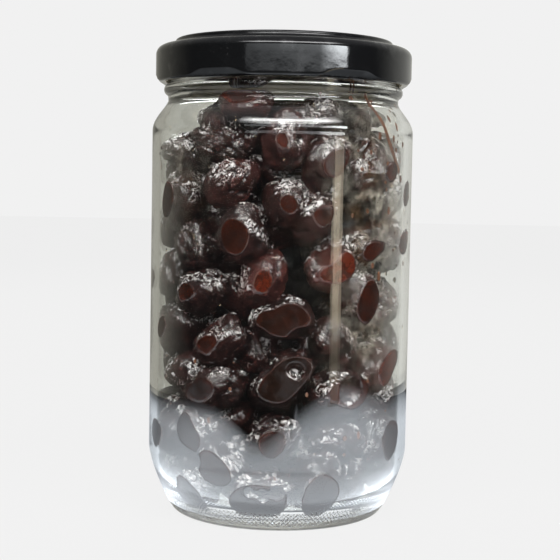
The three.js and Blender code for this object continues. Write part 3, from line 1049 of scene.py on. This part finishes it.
class OLIVEJAR_OT_olives(bpy.types.Operator):
    """Makes the heap: wrinkled olives at the wall, behind it, on top and below, over a dark core"""

    bl_idname = "olive_jar.olives"
    bl_label = "Olives"

    def execute(self, context):
        olives = settings("olives")
        wall = InnerWall(settings("glass"))
        layout = Layout(olives, wall)
        maker = OliveMaker(olives, wall)
        skin = olive_material(olives)
        left = [olive for olive in layout.at_wall if -48 < olive["angle"] < 0]
        right = [olive for olive in layout.at_wall if 0 <= olive["angle"] < 48]
        side = [olive for olive in layout.at_wall if 48 <= abs(olive["angle"]) < 112]
        back = [olive for olive in layout.at_wall if abs(olive["angle"]) >= 112]
        maker.piece("olives_front_left", left, 58, 84, skin)
        maker.piece("olives_front_right", right, 58, 84, skin)
        maker.piece("olives_side", side, 40, 56, skin)
        maker.piece("olives_back", back, 34, 48, skin)
        maker.piece("olives_ends", layout.on_top + layout.below, 34, 48, skin)
        inner = layout.inner_ring(np.random.default_rng(7))
        maker.piece("olives_behind", inner, 24, 32, skin)
        points, faces = core_mesh()
        piece("olive_core", points, faces, core_material(), "olives")
        return {"FINISHED"}


# Film, drops and specks on the inside of the glass

def wall_blobs(wall, blobs, rings=5, columns=12):
    """Low lens-shaped blobs on the inner wall, each given as angle, height, half width, half height and
    thickness in degrees and metres. The flat side sinks a little into the glass."""
    sink = 0.03 * MM
    reach = np.linspace(0, 1, rings + 1)[1:]
    around = 2 * np.pi * np.arange(columns) / columns
    circle = np.column_stack((np.cos(around), np.sin(around)))
    spread = np.concatenate([[[0, 0]]] + [r * circle for r in reach])
    points, faces = [], []
    here = np.arange(columns)
    there = np.roll(here, -1)
    for angle, height, half_width, half_height, thickness in blobs:
        start = sum(len(part) for part in points)
        level = height + half_height * spread[:, 1]
        radius = wall.radius(level)
        turn = math.radians(angle) + half_width * spread[:, 0] / radius
        dome = thickness * np.sqrt(np.maximum(1 - (spread**2).sum(axis=1), 0))
        for depth in (dome - sink, np.full(len(dome), -sink)):
            r = radius - depth
            points.append(np.column_stack((r * np.sin(turn), -r * np.cos(turn), level)))
        sheet = len(spread)
        for side, flip in ((0, False), (sheet, True)):
            fan = [(start + side, start + side + 1 + b, start + side + 1 + a) for a, b in zip(here, there)]
            for row in range(rings - 1):
                low = start + side + 1 + row * columns
                fan += list(zip(low + here, low + there, low + columns + there, low + columns + here))
            faces += [tuple(reversed(face)) for face in fan] if flip else fan
        edge = start + 1 + (rings - 1) * columns
        faces += list(zip(edge + here, edge + there, edge + sheet + there, edge + sheet + here))
    return np.vstack(points), faces


def drip(top, bottom, half_width):
    """Blobs that overlap in a run down the wall, from one angle and height in mm to another."""
    count = max(2, int(abs(top[1] - bottom[1]) / 0.8))
    share = np.linspace(0, 1, count)
    angles = top[0] + (bottom[0] - top[0]) * share**1.6
    heights = top[1] + (bottom[1] - top[1]) * share
    return [(a, z * MM, half_width * MM, 1.1 * MM, 0.2 * MM) for a, z in zip(angles, heights)]


def veil(points, centre, half_angle, low, rise):
    """How cloudy the film is at each point: most at one angle in degrees, growing with height."""
    angle = np.degrees(np.arctan2(points[:, 0], -points[:, 1]))
    return np.exp(-(((angle - centre) / half_angle) ** 2)) * np.clip((points[:, 2] - low) / rise, 0, 1)


def scattered(rng, count, sizes, angle, heights, stretch, thickness):
    """Blobs strewn over the wall. Sizes and heights are ranges in mm, angle is a function that draws one, and
    stretch and thickness are shares of the size."""
    blobs = []
    for size in rng.uniform(*sizes, count) * MM:
        turn, height = angle(), rng.uniform(*heights) * MM
        blobs.append((turn, height, size, size * rng.uniform(*stretch), thickness * size))
    return blobs


class OLIVEJAR_OT_film(bpy.types.Operator):
    """Makes the smears, clear drops, red specks and drips on the inside of the glass"""

    bl_idname = "olive_jar.film"
    bl_label = "Film, drops and specks"

    def execute(self, context):
        film, glass = settings("film"), settings("glass")
        wall = InnerWall(glass)
        rng = np.random.default_rng(31)
        heights = np.linspace(7.5 * MM, 141 * MM, 90)
        sheet = np.column_stack((wall.radius(heights) - film.inset, heights))
        ends = ([[0, sheet[0, 1]]], sheet, [[0, sheet[-1, 1]]])
        points, faces = turned(np.vstack(ends), 180)
        points, faces = points[1:-1], [tuple(i - 1 for i in face) for face in faces if len(face) == 4]
        sheet = piece("oil_film", points, faces, film_material(film))
        cloudy = veil(points, 52, 24, 40 * MM, 30 * MM)
        faint = veil(points, -55, 18, 85 * MM, 25 * MM)
        point_values(sheet, "haze", 0.01 + 0.75 * cloudy + 0.4 * faint)
        count = film.drop_count
        drops = scattered(rng, count, (0.2, 0.75), lambda: rng.uniform(-180, 180), (60, 138), (0.9, 1.5), 0.6)
        points, faces = wall_blobs(wall, drops)
        piece("oil_drops", points, faces, drop_material())
        count = film.speck_count
        specks = scattered(rng, count, (0.25, 0.8), lambda: rng.normal(52, 16), (78, 146), (0.8, 2.2), 0.35)
        low = scattered(rng, count // 2, (0.2, 0.7), lambda: rng.uniform(-75, 75), (8, 60), (0.8, 2), 0.35)
        drips = drip((45, 141), (62, 116), 0.6) + drip((-70, 124), (-67, 116), 0.4)
        points, faces = wall_blobs(wall, specks + low + drips)
        piece("red_specks", points, faces, speck_material(film))
        return {"FINISHED"}


# Stage

def stage_mesh(name, points, faces, material):
    mesh = bpy.data.meshes.new(name)
    mesh.from_pydata(points, [], faces)
    mesh.materials.append(material)
    made = bpy.data.objects.new(name, mesh)
    bpy.context.scene.collection.objects.link(made)
    return made


def floor_material(stage):
    """A pale floor with a little glow of its own, so that shadows on it stay soft."""
    material, tree = new_material("pale_floor")
    principled(
        tree,
        {
            "Base Color": (0.01, 0.01, 0.01, 1),
            "Roughness": 0.9,
            "Specular IOR Level": 0.0,
            "Emission Color": (*stage.backdrop, 1),
            "Emission Strength": 0.965,
        },
    )
    return material


def mirrored(tree):
    """1 for light that the glass or the lid mirrors straight to the camera, 0 for light on what is inside."""
    path = node(tree, "ShaderNodeLightPath").outputs
    reflected = math_node(tree, "GREATER_THAN", path["Glossy Depth"], 0.5)
    shallow = math_node(tree, "LESS_THAN", path["Transmission Depth"], 2.5)
    return math_node(tree, "MULTIPLY", reflected, shallow)


def glow_material(name, rgb, only_mirrored=True, fades=False):
    """A glow as strong as the glow value stored at each point. One that fades is dimmer when it is seen
    steeply, down to the share stored as steep."""
    material, tree = new_material(name)
    strength = attribute(tree, "glow")
    if fades:
        flat = remapped(tree, node(tree, "ShaderNodeLayerWeight", {0: 0.5}).outputs["Facing"], 0.35, 0.62)
        share = math_node(tree, "MAXIMUM", flat, attribute(tree, "steep"))
        strength = math_node(tree, "MULTIPLY", strength, share)
    if only_mirrored:
        strength = math_node(tree, "MULTIPLY", strength, mirrored(tree))
    shader = node(tree, "ShaderNodeEmission", {"Color": (*rgb, 1), "Strength": strength})
    surface(tree, shader.outputs[0])
    return material


def strips(row_count, count, closed=False):
    """Faces between rows of points that follow each other, count points in a row."""
    here = np.arange(count if closed else count - 1)
    there = (here + 1) % count
    first = np.column_stack((here, there, count + there, count + here))
    return np.vstack([first + count * row for row in range(row_count - 1)]).tolist()


def lit_card(name, points, faces, material, glow, lights=False):
    """A glowing sheet that stays out of the picture itself. Its reflections show, and its light too if it
    lights what stands near it."""
    card = stage_mesh(name, points, faces, material)
    point_values(card, "glow", glow)
    card.visible_camera = False
    card.visible_shadow = False
    card.visible_diffuse = lights
    return card


def ring_points(turn, radius, height):
    """Points at some angles in radians from the front, at one height."""
    return np.column_stack((radius * np.sin(turn), -radius * np.cos(turn), np.full(len(turn), height)))


def lit_table(stage):
    """The brightly lit table in front of the jar, which only shows as a reflection in the glass."""
    count = 144
    angles = np.linspace(-180, 180, count, endpoint=False)
    turn = np.radians(angles)
    dip = np.exp(-(((angles + 14) / 24) ** 2))
    rise = np.exp(-(((angles - 55) / 30) ** 2))
    far = (255 - 80 * dip + 60 * rise) * MM
    lit = np.clip((125 - np.abs(angles)) / 70, 0, 1)
    glow = 0.7 + (stage.table_glow - 0.7) * lit**2 * (3 - 2 * lit)
    near = [np.full(count, radius * MM) for radius in (38, 70, 100)]
    rings = (*near, 0.8 * far, 0.95 * far, 1.15 * far)
    shares = (1.3, 1, 1, 1, 0.7, 0)
    points = np.vstack([ring_points(turn, ring, 0.3 * MM) for ring in rings])
    material = glow_material("table_glow", (0.87, 0.93, 1), fades=True)
    glows = np.concatenate([share * glow for share in shares])
    table = lit_card("lit_table", points, strips(len(rings), count, closed=True), material, glows)
    point_values(table, "steep", np.repeat((1, 1, 0.2, 0.2, 0.2, 0.2), count))


def front_window():
    """A long low window behind the camera, brighter to the right, which the lid reflects."""
    count, distance = 40, 1.2
    angles = np.linspace(-33, 56, count)
    turn = np.radians(angles)
    levels = 0.15 + distance * np.tan(np.radians((4.6, 6, 13, 16)))
    points = np.vstack([ring_points(turn, distance, level) for level in levels])
    rise = (angles - angles[0]) / (angles[-1] - angles[0])
    across = 1.3 + 1.9 * np.minimum(rise / 0.6, 1) + 22 * np.clip((rise - 0.72) / 0.2, 0, 1)
    glows = np.concatenate([share * across for share in (0.5, 0.8, 1.3, 0.1)])
    material = glow_material("window_glow", (0.93, 0.97, 1), only_mirrored=False)
    lit_card("front_window", points, strips(len(levels), count), material, glows, lights=True)


def reflected_post(angle, distance, width):
    """An upright pale strip beside the camera, seen only as a streak in the glass. It fades to its ends."""
    turn, half = math.radians(angle), width / 2
    middle = np.array((distance * math.sin(turn), -distance * math.cos(turn), 0))
    side = np.array((math.cos(turn), math.sin(turn), 0)) * half
    levels = np.array((0, 30, 55, 115, 138)) * MM
    glow = (0.5, 0.8, 3.5, 3.5, 0.8)
    points = [middle + s * side + np.array((0, 0, z)) for z in levels for s in (-1, 1)]
    material = glow_material("post_glow", (1, 0.87, 0.66))
    lit_card("pale_post", points, strips(len(levels), 2), material, np.repeat(glow, 2))


def shoulder_band():
    """A narrow band of sky light high in front, which draws one bright arc on the shoulder."""
    count = 60
    turn = np.radians(np.linspace(-46, 62, count))
    levels = np.radians((39, 42, 48, 51))
    points = np.vstack([ring_points(turn, math.cos(level), math.sin(level)) for level in levels])
    ends = np.clip(np.minimum(np.arange(count), np.arange(count)[::-1]) / 12, 0, 1)
    glows = np.concatenate([share * ends for share in (0, 14, 14, 0)])
    material = glow_material("band_glow", (1, 1, 1))
    lit_card("shoulder_band", points, strips(len(levels), count), material, glows)


def area_light(name, place_at, aim, width, height, watts, rgb):
    """A soft oval lamp. The glass and the lid don't mirror it."""
    light = bpy.data.lights.new(name, "AREA")
    light.shape = "ELLIPSE"
    light.size, light.size_y = width, height
    light.energy = watts
    light.color = rgb
    light.use_nodes = True
    tree = light.node_tree
    emission = tree.nodes["Emission"].inputs
    emission["Color"].default_value = (1, 1, 1, 1)
    tree.links.new(math_node(tree, "SUBTRACT", 1.0, mirrored(tree)), emission["Strength"])
    made = bpy.data.objects.new(name, light)
    bpy.context.scene.collection.objects.link(made)
    made.location = place_at
    direction = Vector(aim) - made.location
    made.rotation_euler = direction.to_track_quat("-Z", "Y").to_euler()
    made.visible_camera = False


def studio_world(stage):
    """An even backdrop for the camera, and a room that is dim in front and pale behind for all else."""
    world = bpy.data.worlds.new("studio")
    bpy.context.scene.world = world
    world.use_nodes = True
    tree = world.node_tree
    tree.nodes.clear()
    direction = node(tree, "ShaderNodeTexCoord").outputs["Generated"]
    parts = node(tree, "ShaderNodeSeparateXYZ", {0: direction})
    side = remapped(tree, parts.outputs["X"], -0.7, 0.8)
    behind = remapped(tree, parts.outputs["Y"], -0.1, 0.55)
    above = remapped(tree, parts.outputs["Z"], 0.3, 0.9)
    wall = mixed(tree, side, screen(158, 156, 146), screen(214, 214, 208))
    room = mixed(tree, behind, (0.035, 0.035, 0.036), wall)
    room = mixed(tree, above, room, (0.3, 0.3, 0.31))
    below = remapped(tree, parts.outputs["Z"], -0.3, -0.6)
    room = mixed(tree, below, room, (0.75, 0.76, 0.76))
    around = node(tree, "ShaderNodeBackground", {"Color": room, "Strength": 1.0})
    plain = node(tree, "ShaderNodeBackground", {"Color": (*stage.backdrop, 1), "Strength": 1.0})
    path = node(tree, "ShaderNodeLightPath")
    shader = node(
        tree,
        "ShaderNodeMixShader",
        {0: path.outputs["Is Camera Ray"], 1: around.outputs[0], 2: plain.outputs[0]},
    )
    node(tree, "ShaderNodeOutputWorld", {"Surface": shader.outputs[0]})


def photo_camera(stage):
    """A camera where the photographer stood: level with the jar's upper part, tipped down a little."""
    data = bpy.data.cameras.new("camera")
    data.sensor_width = 36
    data.lens = stage.camera_lens
    camera = bpy.data.objects.new("camera", data)
    bpy.context.scene.collection.objects.link(camera)
    camera.matrix_world = (
        Matrix.Translation((0, -stage.camera_distance, stage.camera_height))
        @ Matrix.Rotation(math.radians(90 - stage.camera_pitch), 4, "X")
        @ Matrix.Rotation(math.radians(stage.camera_roll), 4, "Z")
    )
    bpy.context.scene.camera = camera


class OLIVEJAR_OT_stage(bpy.types.Operator):
    """Sets the camera, the pale floor and the soft studio lights"""

    bl_idname = "olive_jar.stage"
    bl_label = "Stage"

    def execute(self, context):
        stage = settings("stage")
        photo_camera(stage)
        studio_world(stage)
        far = 4.0
        floor = [(-far, -far, 0), (far, -far, 0), (far, far, 0), (-far, far, 0)]
        ground = stage_mesh("floor", floor, [(0, 1, 2, 3)], floor_material(stage))
        ground.visible_glossy = False
        ground.visible_transmission = False
        lit_table(stage)
        reflected_post(46.5, 0.3, 0.04)
        front_window()
        shoulder_band()
        area_light("key", (0.06, -0.72, 0.82), (0, 0, 0.08), 1.8, 0.8, 52, (1, 0.99, 0.98))
        area_light("back", (-0.1, 0.85, 0.8), (0, 0, 0.08), 1.4, 0.6, 16, (1, 0.99, 0.98))
        context.scene.view_settings.view_transform = "Standard"
        context.scene.view_settings.look = "None"
        return {"FINISHED"}


class OLIVEJAR_PT_panel(bpy.types.Panel):
    """Lists the steps that build the jar of olives"""

    bl_idname = "OLIVEJAR_PT_panel"
    bl_label = "Jar of Olives"
    bl_space_type = "VIEW_3D"
    bl_region_type = "UI"
    bl_category = "Olive Jar"

    def draw(self, context):
        for operator in OPERATORS:
            self.layout.operator(operator.bl_idname)
        for name, group in SETTINGS.items():
            box = self.layout.box()
            box.label(text=group.__doc__)
            for key in group.__annotations__:
                box.prop(getattr(context.scene, name), key)


OPERATORS = (
    OLIVEJAR_OT_glass,
    OLIVEJAR_OT_lid,
    OLIVEJAR_OT_olives,
    OLIVEJAR_OT_film,
    OLIVEJAR_OT_stage,
)
CLASSES = (*SETTINGS.values(), *OPERATORS, OLIVEJAR_PT_panel)


def register():
    for cls in CLASSES:
        bpy.utils.register_class(cls)
    for name, group in SETTINGS.items():
        setattr(bpy.types.Scene, name, PointerProperty(type=group))


def unregister():
    for name in SETTINGS:
        delattr(bpy.types.Scene, name)
    for cls in reversed(CLASSES):
        bpy.utils.unregister_class(cls)


def main():
    register()
    bpy.ops.olive_jar.stage()
    bpy.ops.olive_jar.glass()
    bpy.ops.olive_jar.lid()
    bpy.ops.olive_jar.olives()
    bpy.ops.olive_jar.film()


if __name__ == "__main__":
    main()
